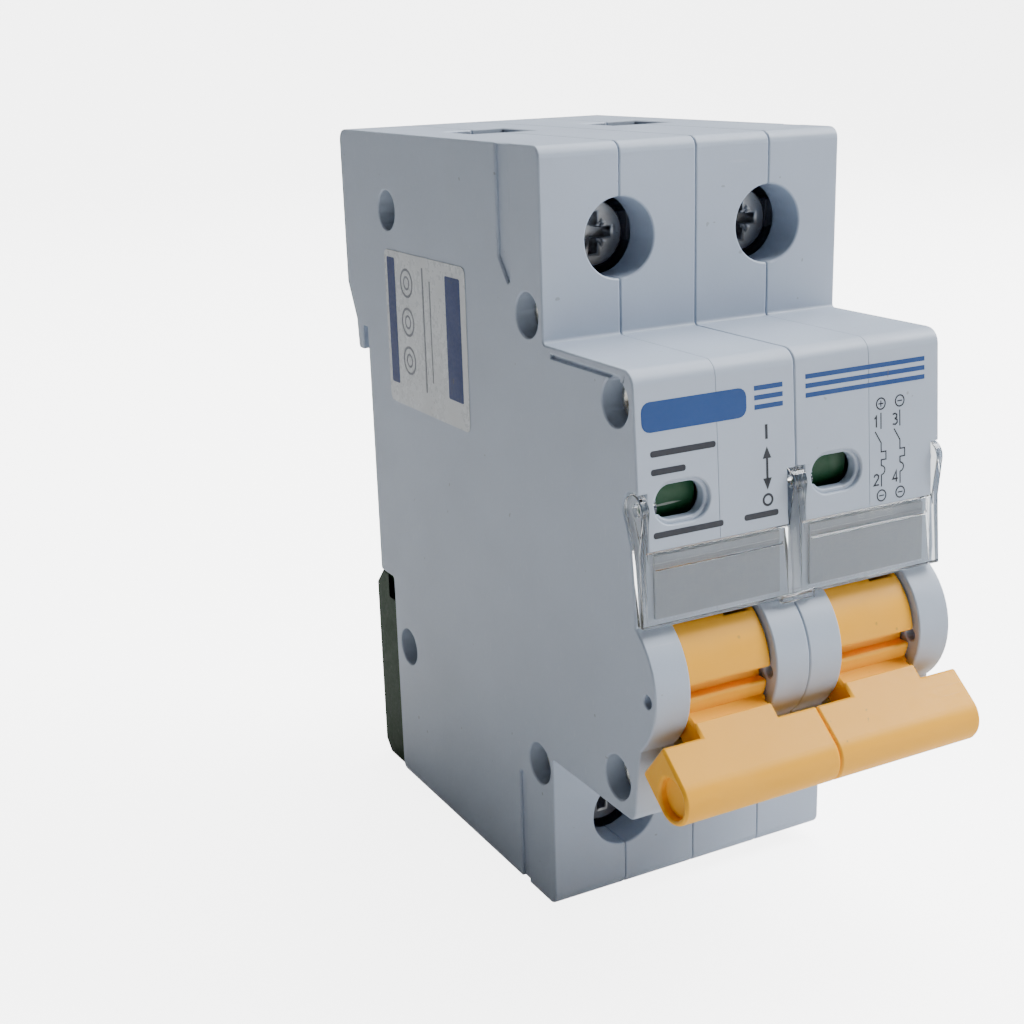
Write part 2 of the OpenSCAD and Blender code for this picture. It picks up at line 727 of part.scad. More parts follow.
// Bent iron frame open at the top, with the fixed core at its front
module coil_frame() {
    low = coil_z - 6.6;
    front = coil_front - 0.2;
    back = coil_back + 0.2;
    color(ZINC) difference() {
        union() {
            block([-5.8, front - frame_t, low], [5.8, front, coil_z + 6.6]);
            block([-5.8, back, low], [5.8, back + frame_t, coil_z + 6.2]);
            block([-3.6, front - frame_t, low], [3.6, back + frame_t, low + frame_t]);
            translate([0, front - eps, coil_z]) rotate([-90, 0, 0]) cylinder(r = core_r, h = core_l);
        }
        along_y(front - 3, front + core_l + 1) disc([0, coil_z], push_pin_r + 0.2);
        along_y(back - 1, back + 3) disc([0, coil_z], plunger_r + 0.15);
    }
}
module coil_frame_1() { at_pole(1) coil_frame(); }
module coil_frame_2() { at_pole(2) coil_frame(); }
module plunger() {
    color(STEEL) {
        along_y(plunger_front, plunger_back) disc([0, coil_z], plunger_r);
        along_y(push_pin_tip, plunger_front + 1) disc([0, coil_z], push_pin_r);
    }
}
module plunger_1() { at_pole(1) plunger(); }
module plunger_2() { at_pole(2) plunger(); }
module plunger_spring() {
    start = coil_front - 0.2 + core_l;
    color(STEEL) translate([0, start + 0.35, coil_z]) rotate([0, 0, 90])
        coil_wire(1.6, 0.22, 5, plunger_front - start - 0.7);
}
module plunger_spring_1() { at_pole(1) plunger_spring(); }
module plunger_spring_2() { at_pole(2) plunger_spring(); }

module bimetal() {
    back = foot_y - foot_t / 2 - 0.02;
    tip = trip_pivot[0] + trip_leg_t / 2 + gap;
    color([0.62, 0.60, 0.56]) {
        block([low_left, back - bimetal_t, bimetal_low], [foot_right, back, bimetal_top]);
        block([low_left + 0.4, tip, bimetal_top - 1.2],
              [low_left + 1.4, back - bimetal_t + eps, bimetal_top - 0.2]);
    }
}
module bimetal_1() { at_pole(1) bimetal(); }
module bimetal_2() { at_pole(2) bimetal(); }
module calibration_screws() {
    color(STEEL) for (pole = [1, 2]) at_pole(pole) translate([low_left + 1.5, 0, 0]) difference() {
        along_y(foot_y + 0.72, foot_y + 4) disc([0, -14.6], 1.1);
        block([-1.5, foot_y + 3.4, -14.8], [1.5, foot_y + 5, -14.4]);
    }
}
// Flexible braid from the contact arm to the bimetal
braid_path = [
    [-1.9, -40.4, -5.6], [-2.2, -39.9, -7], [-2.8, -39.2, -8.5], [-3.6, -38.8, -9.8],
    [-4.5, -39, -10.8], [-5.3, -39.6, -11], [-5.8, -40.5, -10.5]
];
module braid() {
    sides = 8;
    r = 0.7;
    n = len(braid_path) - 1;
    points = [
        for (i = [0 : n])
            let (t = unit(braid_path[min(n, i + 1)] - braid_path[max(0, i - 1)]))
            let (u = unit(cross(t, [1, 0, 0.3])), v = cross(t, u))
            for (a = [0 : 360 / sides : 359]) braid_path[i] + r * (cos(a) * u + sin(a) * v)
    ];
    ends = [[for (j = [sides - 1 : -1 : 0]) j], [for (j = [0 : sides - 1]) n * sides + j]];
    skin = [
        for (i = [0 : n - 1], j = [0 : sides - 1])
            let (k = i * sides, m = (j + 1) % sides)
            each [[k + j, k + sides + m, k + sides + j], [k + j, k + m, k + sides + m]]
    ];
    color(COPPER) polyhedron(points, concat(ends, skin));
}
module braid_1() { at_pole(1) braid(); }
module braid_2() { at_pole(2) braid(); }

// ---- Arc chute -----------------------------------------------------------------------------------

function plate_z(i) = plate_low + i * plate_pitch;
tab_front = -21;
tab_back = -15;
module arc_plates() {
    wide = cheek_in + cheek_t;
    color(ZINC) for (i = [0 : plate_count - 1]) translate([0, 0, plate_z(i)]) linear_extrude(plate_t)
        difference() {
            union() {
                translate([-cheek_in + 0.1, plate_front])
                    square([2 * cheek_in - 0.2, plate_back - plate_front]);
                translate([-wide, tab_front]) square([2 * wide, tab_back - tab_front]);
            }
            // Notch that draws the arc in
            translate([0, plate_front]) polygon([[-3.4, -1], [3.4, -1], [0.8, 9], [-0.8, 9]]);
        }
}
module arc_plates_1() { at_pole(1) arc_plates(); }
module arc_plates_2() { at_pole(2) arc_plates(); }
module arc_cheeks() {
    color(FIBRE) for (s = [-1, 1]) outward(s, cheek_in, cheek_in + cheek_t) difference() {
        translate([plate_front - 0.4, plate_low - 1.1])
            square([plate_back - plate_front + 0.8, plate_count * plate_pitch + 1]);
        for (i = [0 : plate_count - 1]) translate([tab_front - 0.1, plate_z(i) - 0.05])
            square([tab_back - tab_front + 0.2, plate_t + 0.1]);
    }
}
module arc_cheeks_1() { at_pole(1) arc_cheeks(); }
module arc_cheeks_2() { at_pole(2) arc_cheeks(); }

// ---- Terminals -----------------------------------------------------------------------------------

// Rising cage, drawn with its screw on z = 0
module cage(upper) {
    front = -cage_open_front;
    color(ZINC) at_terminal(upper) difference() {
        translate([0, 0, -cage_h / 2]) linear_extrude(cage_h) difference() {
            polygon(rounded([
                [-cage_w / 2, front, 0.9], [cage_w / 2, front, 0.9],
                [cage_w / 2, front + cage_l, 0.9], [-cage_w / 2, front + cage_l, 0.9]
            ]));
            translate([-cage_w / 2 + cage_t, front + cage_front_t])
                square([cage_w - 2 * cage_t, cage_l - cage_front_t - 1.8]);
            // Toothed rear wall that bites the wire
            for (x = [-2.4, 0, 2.4]) translate([x, front + cage_l - 1.8]) circle(r = 0.45, $fn = 4);
        }
        along_y(front - 1, front + cage_front_t + 1) disc([0, 0], screw_d / 2 + running);
    }
}
module cage_upper_1() { at_pole(1) cage(true); }
module cage_upper_2() { at_pole(2) cage(true); }
module cage_lower_1() { at_pole(1) cage(false); }
module cage_lower_2() { at_pole(2) cage(false); }

module terminal_screw(upper) {
    color(ZINC) at_terminal(upper) difference() {
        union() {
            along_y(-head_front, -head_back) disc([0, 0], head_d / 2);
            along_y(-head_back - eps, -strap_face - 0.08) disc([0, 0], screw_d / 2);
        }
        // Cross recess, and the shallow ticks between its arms
        for (a = [0, 90]) rotate([0, a, 0])
            block([-2.1, -head_front - 1, -0.5], [2.1, -head_front + 1.7, 0.5]);
        for (a = [45, 135]) rotate([0, a, 0])
            block([-1.5, -head_front - 1, -0.2], [1.5, -head_front + 0.4, 0.2]);
    }
}
module screw_upper_1() { at_pole(1) terminal_screw(true); }
module screw_upper_2() { at_pole(2) terminal_screw(true); }
module screw_lower_1() { at_pole(1) terminal_screw(false); }
module screw_lower_2() { at_pole(2) terminal_screw(false); }

strap_mid = -strap_face + strap_t / 2;
module strap_upper() {
    color(COPPER) along_x(-strap_w / 2, strap_w / 2) strip([
        [strap_mid, upper_screw_z + cage_h / 2], [strap_mid, upper_bus_z], [strap_mid + 5, upper_bus_z]
    ], strap_t);
}
module strap_upper_1() { at_pole(1) strap_upper(); }
module strap_upper_2() { at_pole(2) strap_upper(); }
module strap_lower() {
    color(COPPER) {
        along_x(-strap_w / 2, strap_w / 2)
            strip([[strap_mid, -lower_screw_z - cage_h / 2], [strap_mid, foot_z]], strap_t);
        along_x(low_left, strap_w / 2) strip([[strap_mid, foot_z], [foot_y, foot_z]], foot_t);
        along_x(low_left, foot_right) strip([[foot_y, foot_z], [foot_y, -13]], foot_t);
    }
}
module strap_lower_1() { at_pole(1) strap_lower(); }
module strap_lower_2() { at_pole(2) strap_lower(); }

// ---- Rail clip -----------------------------------------------------------------------------------

module din_clip() {
    top = lower_flange - 0.4;
    low = -bottom_z - clip_drop;
    front = -lower_back + 0.1;
    hook = lower_flange + flange_grip;
    color(CLIP_GREEN) difference() {
        union() {
            along_x(-clip_half, clip_half) polygon(rounded([
                [rail_slot - 0.2, hook, 0.2], [rail_slot + 1.8, hook, 0.4],
                [back_depth, lower_flange + 0.4, 0.5], [back_depth, low + 1.5, 0.3],
                [back_depth - 1.5, low, 0.3], [front, low, 0.4], [front, top, 0.2],
                [rail_slot - 0.2, top, 0]
            ]));
            block([-stem_half, -lower_back - wall - 0.2, stem_top - stem_h],
                  [stem_half, front + eps, stem_top]);
            block([-stem_head_half, -lower_back - wall - 1.6, stem_top - stem_h],
                  [stem_head_half, -lower_back - wall - 0.15, stem_top]);
        }
        // Slot for the tip of a screwdriver, and the hollow behind the tongue
        block([-2.6, front - 1, low - 1], [2.6, front + 2.2, low + 3]);
        block([-clip_half + 2, front + 4.5, low + 6], [clip_half - 2, back_depth + 1, lower_flange - 5]);
    }
}
module din_clip_1() { at_pole(1) din_clip(); }
module din_clip_2() { at_pole(2) din_clip(); }

case_1_left();
case_1_right();
case_2_left();
case_2_right();
rivets();
side_label();
label_cover();
label_insert_1();
label_insert_2();
handle_1();
handle_2();
handle_tie_pin();
handle_spring_1();
handle_spring_2();
link_1();
link_2();
contact_arm_1();
contact_arm_2();
moving_contact_1();
moving_contact_2();
fixed_contact_1();
fixed_contact_2();
fixed_contact_tips();
trip_lever_1();
trip_lever_2();
trip_bar();
indicator_1();
indicator_2();
coil_1();
coil_2();
coil_frame_1();
coil_frame_2();
plunger_1();
plunger_2();
plunger_spring_1();
plunger_spring_2();
bimetal_1();
bimetal_2();
calibration_screws();
braid_1();
braid_2();
arc_plates_1();
arc_plates_2();
arc_cheeks_1();
arc_cheeks_2();
cage_upper_1();
cage_upper_2();
cage_lower_1();
cage_lower_2();
screw_upper_1();
screw_upper_2();
screw_lower_1();
screw_lower_2();
strap_upper_1();
strap_upper_2();
strap_lower_1();
strap_lower_2();
din_clip_1();
din_clip_2();
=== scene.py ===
"""Looks of a two-pole rail-mounted circuit breaker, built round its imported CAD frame.

Lengths are metres, +X runs along the rail, the handles face -Y and +Z is up.
Most pieces are bevelled copies of the CAD nodes. Springs, windings, braids, threads, rivets
and printed marks are surfaces worked out with numpy. Flat marks are drawn in millimetres.
"""

import json
import math

import bmesh
import bpy
import numpy as np
from mathutils import Matrix, Vector
from mathutils.bvhtree import BVHTree


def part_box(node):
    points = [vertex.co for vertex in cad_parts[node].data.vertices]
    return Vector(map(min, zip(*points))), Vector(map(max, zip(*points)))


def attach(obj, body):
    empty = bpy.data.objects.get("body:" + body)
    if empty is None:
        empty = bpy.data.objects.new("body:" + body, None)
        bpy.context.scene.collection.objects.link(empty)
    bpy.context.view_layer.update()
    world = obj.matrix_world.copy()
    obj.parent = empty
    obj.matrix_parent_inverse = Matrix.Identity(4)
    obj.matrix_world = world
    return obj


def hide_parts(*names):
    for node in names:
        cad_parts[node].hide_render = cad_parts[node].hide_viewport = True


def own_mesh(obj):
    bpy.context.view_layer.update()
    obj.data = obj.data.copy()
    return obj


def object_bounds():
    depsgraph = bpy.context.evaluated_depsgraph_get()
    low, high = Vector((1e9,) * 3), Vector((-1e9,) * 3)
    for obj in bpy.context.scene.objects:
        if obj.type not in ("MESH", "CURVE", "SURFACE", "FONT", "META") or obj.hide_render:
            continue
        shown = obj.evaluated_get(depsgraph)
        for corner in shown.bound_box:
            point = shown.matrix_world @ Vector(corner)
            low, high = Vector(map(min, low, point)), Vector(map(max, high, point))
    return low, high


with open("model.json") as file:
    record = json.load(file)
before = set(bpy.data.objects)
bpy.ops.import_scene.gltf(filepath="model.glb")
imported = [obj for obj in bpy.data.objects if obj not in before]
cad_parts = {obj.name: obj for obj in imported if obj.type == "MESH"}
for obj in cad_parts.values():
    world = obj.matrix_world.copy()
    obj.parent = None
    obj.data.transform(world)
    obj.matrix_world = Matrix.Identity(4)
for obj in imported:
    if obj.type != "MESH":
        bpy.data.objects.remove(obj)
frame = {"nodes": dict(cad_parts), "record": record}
cad_low, cad_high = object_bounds()
MM = 0.001
POLES = (1, 2)
nodes = frame["nodes"]
body_of_node = {n: b for b, names in frame["record"]["behaviour"]["bodies"].items() for n in names}
slot_of_node = {s["node"]: s["material_slot"] for s in frame["record"]["subparts"]}


# ---- Node places ---------------------------------------------------------------------------------


def corners(node):
    """Lowest and highest corner of a CAD node, as two numpy points."""
    low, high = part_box(node)
    return np.array(low), np.array(high)


def middle(node):
    low, high = corners(node)
    return (low + high) / 2


def surface_tree(node):
    """Search tree of a CAD node's own triangles."""
    mesh = nodes[node].data
    points = [v.co for v in mesh.vertices]
    return BVHTree.FromPolygons(points, [p.vertices for p in mesh.polygons])


def front_depth(node, x, z):
    """Y where a line along +Y through (x, z) first meets the node."""
    hit = surface_tree(node).ray_cast(Vector((x, cad_low[1] - 0.01, z)), Vector((0, 1, 0)))[0]
    return hit.y


# ---- Materials -----------------------------------------------------------------------------------


def colour(r, g, b):
    """Linear colour from display values of 0 to 255: ((c + 0.055) / 1.055) ^ 2.4 above the toe."""
    c = np.array([r, g, b]) / 255
    linear = np.where(c > 0.04045, ((c + 0.055) / 1.055) ** 2.4, c / 12.92)
    return (*linear.tolist(), 1.0)


class Nodes:
    """A node tree with short ways to add a node, set its sockets and join it."""

    def __init__(self, tree):
        self.tree = tree

    def add(self, kind, inputs=None, **settings):
        node = self.tree.nodes.new(kind)
        for key, value in settings.items():
            setattr(node, key, value)
        for key, value in (inputs or {}).items():
            if isinstance(value, bpy.types.NodeSocket):
                self.tree.links.new(value, node.inputs[key])
            else:
                node.inputs[key].default_value = value
        return node

    def noise(self, vector, scale, detail=2.0, roughness=0.5):
        return self.add("ShaderNodeTexNoise", {
            "Vector": vector, "Scale": scale, "Detail": detail, "Roughness": roughness,
        }).outputs["Fac"]

    def math(self, operation, a, b=0.5, clamp=False):
        return self.add("ShaderNodeMath", {0: a, 1: b}, operation=operation, use_clamp=clamp).outputs[0]

    def band(self, value, low, high, to_low=0.0, to_high=1.0):
        return self.add("ShaderNodeMapRange", {
            "Value": value, "From Min": low, "From Max": high, "To Min": to_low, "To Max": to_high,
        }).outputs["Result"]

    def mix(self, factor, a, b, blend="MIX"):
        node = self.add("ShaderNodeMix", {0: factor, 6: a, 7: b}, data_type="RGBA", blend_type=blend)
        return node.outputs[2]

    def stretched(self, vector, scale):
        return self.add("ShaderNodeMapping", {"Vector": vector, "Scale": scale}).outputs["Vector"]


def new_group(name, inputs, outputs):
    """An empty shader node group with named sockets. Each input gives its kind and first value."""
    tree = bpy.data.node_groups.new(name, "ShaderNodeTree")
    for key, kind, value in inputs:
        socket = tree.interface.new_socket(key, in_out="INPUT", socket_type="NodeSocket" + kind)
        socket.default_value = value
    for key, kind in outputs:
        tree.interface.new_socket(key, in_out="OUTPUT", socket_type="NodeSocket" + kind)
    n = Nodes(tree)
    return n, n.add("NodeGroupInput").outputs, n.add("NodeGroupOutput")


SURFACE_OUTPUTS = [("Color", "Color"), ("Roughness", "Float"), ("Height", "Float")]
SURFACE_INPUTS = [("Color", "Color", (0.5, 0.5, 0.5, 1)), ("Roughness", "Float", 0.4)]


def join_outputs(n, group_output, **sockets):
    for key, socket in sockets.items():
        n.tree.links.new(socket, group_output.inputs[key])


def moulded_skin():
    """Moulded plastic: cloudy tone, fine eroded grain, dull handled patches, hair scratches and dust."""
    n, given, out = new_group(
        "moulded_skin",
        SURFACE_INPUTS + [("Grain", "Float", 2600.0), ("Cloud", "Float", 0.05), ("Dust", "Float", 0.2)],
        SURFACE_OUTPUTS,
    )
    place = n.add("ShaderNodeTexCoord").outputs["Object"]
    cloud = n.noise(place, 55.0, 4.0)
    grain = n.noise(place, given["Grain"], 2.0, 0.6)
    flow = n.noise(n.stretched(place, (260, 260, 60)), 1.0, 2.0)
    patch = n.band(n.noise(place, 130.0, 3.0), 0.52, 0.72)
    scratch = n.band(n.noise(n.stretched(place, (90, 4200, 700)), 1.0, 1.0), 0.735, 0.76)
    speck = n.band(n.noise(place, 900.0, 1.0), 0.78, 0.8)
    shade = n.band(cloud, 0.3, 0.7, 1.0, -1.0)
    bright = n.math("MULTIPLY_ADD", shade, given["Cloud"])
    bright.node.inputs[2].default_value = 1.0
    tone = n.add("ShaderNodeHueSaturation", {"Color": given["Color"], "Value": bright}).outputs[0]
    dusty = n.mix(n.math("MULTIPLY", patch, given["Dust"]), tone, (0.55, 0.54, 0.52, 1))
    marked = n.mix(n.math("MULTIPLY", speck, 0.35), dusty, (0.10, 0.09, 0.08, 1))
    worn = n.math("MULTIPLY", given["Dust"], 1.6)
    scraped = n.mix(n.math("MULTIPLY", scratch, worn), marked, (0.9, 0.9, 0.9, 1))
    rough = n.math("ADD", given["Roughness"], n.math("MULTIPLY", patch, 0.10))
    rough = n.math("ADD", rough, n.band(grain, 0.3, 0.7, -0.05, 0.05))
    height = n.math("ADD", n.math("MULTIPLY", grain, 0.7), n.math("MULTIPLY", flow, 0.5))
    height = n.math("SUBTRACT", height, n.math("MULTIPLY", scratch, 0.6))
    join_outputs(n, out, Color=scraped, Roughness=rough, Height=height)
    return n.tree


def worked_metal():
    """Metal with drawn lines along X, stains, and small pits."""
    n, given, out = new_group(
        "worked_metal",
        SURFACE_INPUTS + [("Stain", "Color", (0.2, 0.16, 0.12, 1)), ("Staining", "Float", 0.3),
                          ("Lines", "Float", 1.0)],
        SURFACE_OUTPUTS,
    )
    place = n.add("ShaderNodeTexCoord").outputs["Object"]
    lines = n.noise(n.stretched(place, (500, 6000, 6000)), 1.0, 2.0)
    blotch = n.band(n.noise(place, 420.0, 4.0, 0.6), 0.42, 0.68)
    pits = n.band(n.noise(place, 3200.0, 1.0), 0.70, 0.76)
    stained = n.mix(n.math("MULTIPLY", blotch, given["Staining"]), given["Color"], given["Stain"])
    shaded = n.mix(n.math("MULTIPLY", pits, 0.4), stained, (0.08, 0.07, 0.06, 1))
    rough = n.math("ADD", given["Roughness"], n.math("MULTIPLY", blotch, 0.16))
    rough = n.math("ADD", rough, n.band(lines, 0.3, 0.7, -0.06, 0.06))
    drawn = n.math("MULTIPLY", lines, given["Lines"])
    height = n.math("SUBTRACT", drawn, n.math("MULTIPLY", pits, 0.5))
    join_outputs(n, out, Color=shaded, Roughness=rough, Height=height)
    return n.tree


def fibrous():
    """Pressed fibre and paper: short pale and dark hairs that cross each other."""
    n, given, out = new_group(
        "fibrous", SURFACE_INPUTS + [("Hairs", "Float", 0.25)], SURFACE_OUTPUTS
    )
    place = n.add("ShaderNodeTexCoord").outputs["Object"]
    one = n.noise(n.stretched(place, (900, 5200, 5200)), 1.0, 2.0)
    two = n.noise(n.stretched(place, (5200, 5200, 800)), 1.0, 2.0)
    hairs = n.math("MAXIMUM", one, two)
    pale = n.math("MULTIPLY", n.band(hairs, 0.5, 0.75), given["Hairs"])
    tone = n.mix(pale, given["Color"], (0.9, 0.86, 0.78, 1))
    rough = n.math("ADD", given["Roughness"], n.band(hairs, 0.4, 0.7, 0.0, 0.12))
    join_outputs(n, out, Color=tone, Roughness=rough, Height=hairs)
    return n.tree


GROUPS = {"moulded_skin": moulded_skin(), "worked_metal": worked_metal(), "fibrous": fibrous()}


def finish(name, group, base, rough, bump, depth, shader=None, **group_inputs):
    """A material: one of the groups drives colour, roughness and a bump of the given depth."""
    material = bpy.data.materials.new(name)
    material.use_nodes = True
    n = Nodes(material.node_tree)
    surface = n.tree.nodes["Principled BSDF"]
    for key, value in (shader or {}).items():
        surface.inputs[key].default_value = value
    skin = n.add("ShaderNodeGroup", node_tree=GROUPS[group])
    skin.inputs["Color"].default_value = base
    skin.inputs["Roughness"].default_value = rough
    for key, value in group_inputs.items():
        skin.inputs[key].default_value = value
    dent = n.add("ShaderNodeBump", {
        "Strength": bump, "Distance": depth, "Height": skin.outputs["Height"],
    })
    n.tree.links.new(skin.outputs["Color"], surface.inputs["Base Color"])
    n.tree.links.new(skin.outputs["Roughness"], surface.inputs["Roughness"])
    n.tree.links.new(dent.outputs["Normal"], surface.inputs["Normal"])
    return material


METAL = {"Metallic": 1.0}


def plastic(name, base, rough=0.42, gloss=0.4, **more):
    shader = {"IOR": 1.5, "Specular IOR Level": gloss}
    return finish(name, "moulded_skin", base, rough, 0.35, 0.00003, shader, **more)


def metal(name, base, rough=0.3, **more):
    return finish(name, "worked_metal", base, rough, 0.3, 0.00002, METAL, **more)


def clear_plastic():
    """Clear polycarbonate with faint smears."""
    return finish(
        "clear_polycarbonate", "moulded_skin", (0.93, 0.96, 0.98, 1), 0.02, 0.1, 0.00002,
        {"Transmission Weight": 1.0, "IOR": 1.45}, Cloud=0.01, Dust=0.02, Grain=700.0,
    )


def flag_paint():
    """Moulded flag: green, which shows when switched off, and red over its top 2 mm."""
    material = plastic("flag_paint", colour(14, 76, 44), 0.5)
    n = Nodes(material.node_tree)
    surface = n.tree.nodes["Principled BSDF"]
    skin = next(x for x in n.tree.nodes if x.type == "GROUP")
    top = corners("indicator_1")[1][2]
    place = n.add("ShaderNodeTexCoord").outputs["Object"]
    z = n.add("ShaderNodeSeparateXYZ", {0: place}).outputs["Z"]
    upper = n.band(z, top - 2.0 * MM, top - 1.8 * MM)
    both = n.mix(upper, skin.outputs["Color"], colour(104, 36, 26))
    n.tree.links.new(both, surface.inputs["Base Color"])
    return material


MATERIALS = {
    "case_plastic": plastic("case_grey", colour(172, 184, 202), 0.42, Cloud=0.035, Dust=0.05),
    "handle_plastic": plastic("handle_amber", colour(252, 180, 40), 0.42, gloss=0.22, Cloud=0.04, Dust=0.03),
    "clip_plastic": plastic("clip_green", colour(0, 44, 8), 0.5, gloss=0.12, Dust=0.02),
    "dark_plastic": plastic("lever_charcoal", colour(48, 50, 54), 0.45),
    "flag_plastic": flag_paint(),
    "clear_cover": clear_plastic(),
    "film": plastic("label_film", colour(196, 202, 208), 0.28, Grain=1200.0),
    "paper": finish("marking_card", "fibrous", colour(138, 146, 160), 0.55, 0.2, 0.00002, Hairs=0.06),
    "fibre": finish("pressed_fibre", "fibrous", colour(150, 122, 84), 0.75, 0.5, 0.00004, Hairs=0.3),
    "rivet_steel": metal("rivet_bright", colour(206, 204, 198), 0.22, Staining=0.15),
    "zinc_steel": metal("terminal_zinc", colour(150, 154, 160), 0.34, Staining=0.35),
    "spring_steel": metal("spring_wire", colour(176, 178, 182), 0.24, Staining=0.1),
    "iron": metal("soft_iron", colour(128, 130, 134), 0.4, Staining=0.45),
    "copper": metal("strip_copper", colour(214, 132, 92), 0.3, Staining=0.3,
                    Stain=(0.18, 0.07, 0.03, 1)),
    "coil_copper": metal("enamelled_copper", colour(176, 84, 44), 0.22, Staining=0.15, Lines=0.2),
    "silver": metal("contact_silver", colour(222, 222, 220), 0.26, Staining=0.3),
    "bimetal": metal("bimetal_strip", colour(176, 168, 150), 0.35, Staining=0.3),
}


def ink(name, base):
    """Printing ink, with specks where it has not taken."""
    return plastic(name, base, 0.5, Cloud=0.08, Dust=0.0)


INK_BLUE = ink("ink_blue", colour(8, 62, 128))
INK_DARK = ink("ink_dark", colour(34, 38, 50))
INK_GREY = ink("ink_grey", colour(120, 124, 134))
INK_NAVY = ink("ink_navy", colour(40, 58, 110))
BOBBIN = plastic("bobbin_cream", colour(206, 196, 170), 0.45)


# ---- Meshes --------------------------------------------------------------------------------------


def new_piece(name, points, faces, body, material, slot, smooth_angle=40.0):
    """A mesh object from an array of points and lists of faces, riding on a body."""
    mesh = bpy.data.meshes.new(name)
    mesh.from_pydata(np.asarray(points, float).tolist(), [], [list(map(int, f)) for f in faces])
    mesh.materials.append(material)
    piece = bpy.data.objects.new(name, mesh)
    bpy.context.scene.collection.objects.link(piece)
    soften(mesh, smooth_angle)
    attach(piece, body)
    return piece


def soften(mesh, angle):
    """Smooth shading, kept sharp where two faces meet at more than the angle."""
    mesh.shade_smooth()
    mesh.set_sharp_from_angle(angle=math.radians(angle))


def grid_faces(rows, columns, closed_rows=False, closed_columns=False, start=0):
    """Quads of a grid of points in rows, whose last row or column may join its first."""
    i = np.arange(rows if closed_rows else rows - 1)[:, None]
    j = np.arange(columns if closed_columns else columns - 1)[None, :]
    i2, j2 = (i + 1) % rows, (j + 1) % columns
    quads = np.stack([i * columns + j, i * columns + j2, i2 * columns + j2, i2 * columns + j], -1)
    return (quads.reshape(-1, 4) + start).tolist()


def tube(path, radius, sides=10, start=0):
    """A closed round wire. Ring i is centre + radius (cos a u + sin a v), where u is square to the
    path and to a fixed slanted direction, v to both, and the ends are capped with one face each."""
    path = np.asarray(path, float)
    along = np.gradient(path, axis=0)
    along /= np.linalg.norm(along, axis=1)[:, None]
    u = np.cross(along, np.array([0.36, 0.48, 0.8]))
    u /= np.linalg.norm(u, axis=1)[:, None]
    v = np.cross(along, u)
    a = np.linspace(0, 2 * np.pi, sides, endpoint=False)[None, :, None]
    radius = np.broadcast_to(np.asarray(radius, float), (len(path),))[:, None, None]
    rings = path[:, None] + radius * (np.cos(a) * u[:, None] + np.sin(a) * v[:, None])
    faces = grid_faces(len(path), sides, closed_columns=True, start=start)
    last = start + (len(path) - 1) * sides
    faces.append([start + k for k in range(sides)][::-1])
    faces.append([last + k for k in range(sides)])
    return rings.reshape(-1, 3), faces


def gather(parts):
    """Joins several (points, faces) lists into one."""
    points, faces, start = [], [], 0
    for p, f in parts:
        points.append(p)
        faces += [[k + start for k in face] for face in f]
        start += len(p)
    return np.vstack(points), faces


def lathe(profile, centre, axis, sides=40):
    """A closed turned shape. The profile is a ring of (distance along the axis, radius) points, and
    point (i, j) is centre + distance * axis + radius (cos a u + sin a v)."""
    profile = np.asarray(profile, float)
    axis = np.asarray(axis, float)
    u = np.cross(axis, [0.0, 0.0, 1.0])
    v = np.cross(axis, u)
    a = np.linspace(0, 2 * np.pi, sides, endpoint=False)[:, None, None]
    along = profile[None, :, :1] * axis
    ring = profile[None, :, 1:] * (np.cos(a) * u + np.sin(a) * v)
    points = (np.asarray(centre) + along + ring).reshape(-1, 3)
    return points, grid_faces(sides, len(profile), closed_rows=True, closed_columns=True)


def arc(centre, radius, start, end, count):
    """Points of an arc in degrees, as (first, second) coordinates."""
    a = np.radians(np.linspace(start, end, count))[:, None]
    return np.asarray(centre) + radius * np.hstack([np.cos(a), np.sin(a)])


def outward_normals(piece):
    """Turns all faces outwards, for shapes whose winding depends on their path."""
    b = bmesh.new()
    b.from_mesh(piece.data)
    bmesh.ops.recalc_face_normals(b, faces=b.faces)
    b.to_mesh(piece.data)
    b.free()
    return piece


def on_closed_seam(edge):
    """True for an edge of the raised nose where the two halves of one pole close with no gap."""
    return all(
        abs(abs(v.co.x) - pole_middle) < 0.04 * MM and v.co.y < nose_behind for v in edge.verts
    )


def rounded_edges(piece, width, sharp, segments=2):
    """Bevels the convex edges that are sharper than the angle; their weights are set one by one."""
    b = bmesh.new()
    b.from_mesh(piece.data)
    layer = b.edges.layers.float.new("bevel_weight_edge")
    limit = math.radians(sharp)
    for edge in b.edges:
        if len(edge.link_faces) == 2 and edge.is_convex and edge.calc_face_angle(0) > limit:
            edge[layer] = 0.0 if on_closed_seam(edge) else 1.0
    b.to_mesh(piece.data)
    b.free()
    rounding = piece.modifiers.new("rounding", "BEVEL")
    rounding.width = width
    rounding.segments = segments
    rounding.limit_method = "WEIGHT"
    rounding.use_clamp_overlap = False
    rounding.loop_slide = False
    flats = piece.modifiers.new("even_flats", "WEIGHTED_NORMAL")
    flats.keep_sharp = True


def finished_copy(node, name, bevel, material=None, segments=2, sharp=32.0):
    """A copy of a CAD node, merged, its flats joined, and its corners rounded by a bevel."""
    slot = slot_of_node[node]
    source = nodes[node].data
    b = bmesh.new()
    b.from_mesh(source)
    bmesh.ops.remove_doubles(b, verts=b.verts, dist=0.000002)
    bmesh.ops.dissolve_limit(
        b, angle_limit=math.radians(0.4), verts=b.verts, edges=b.edges, use_dissolve_boundaries=False
    )
    mesh = bpy.data.meshes.new(name)
    b.to_mesh(mesh)
    b.free()
    mesh.materials.clear()
    mesh.materials.append(material or MATERIALS[slot])
    piece = bpy.data.objects.new(name, mesh)
    bpy.context.scene.collection.objects.link(piece)
    soften(mesh, sharp)
    if bevel:
        rounded_edges(piece, bevel, sharp, segments)
    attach(piece, body_of_node[node])
    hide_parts(node)
    return piece


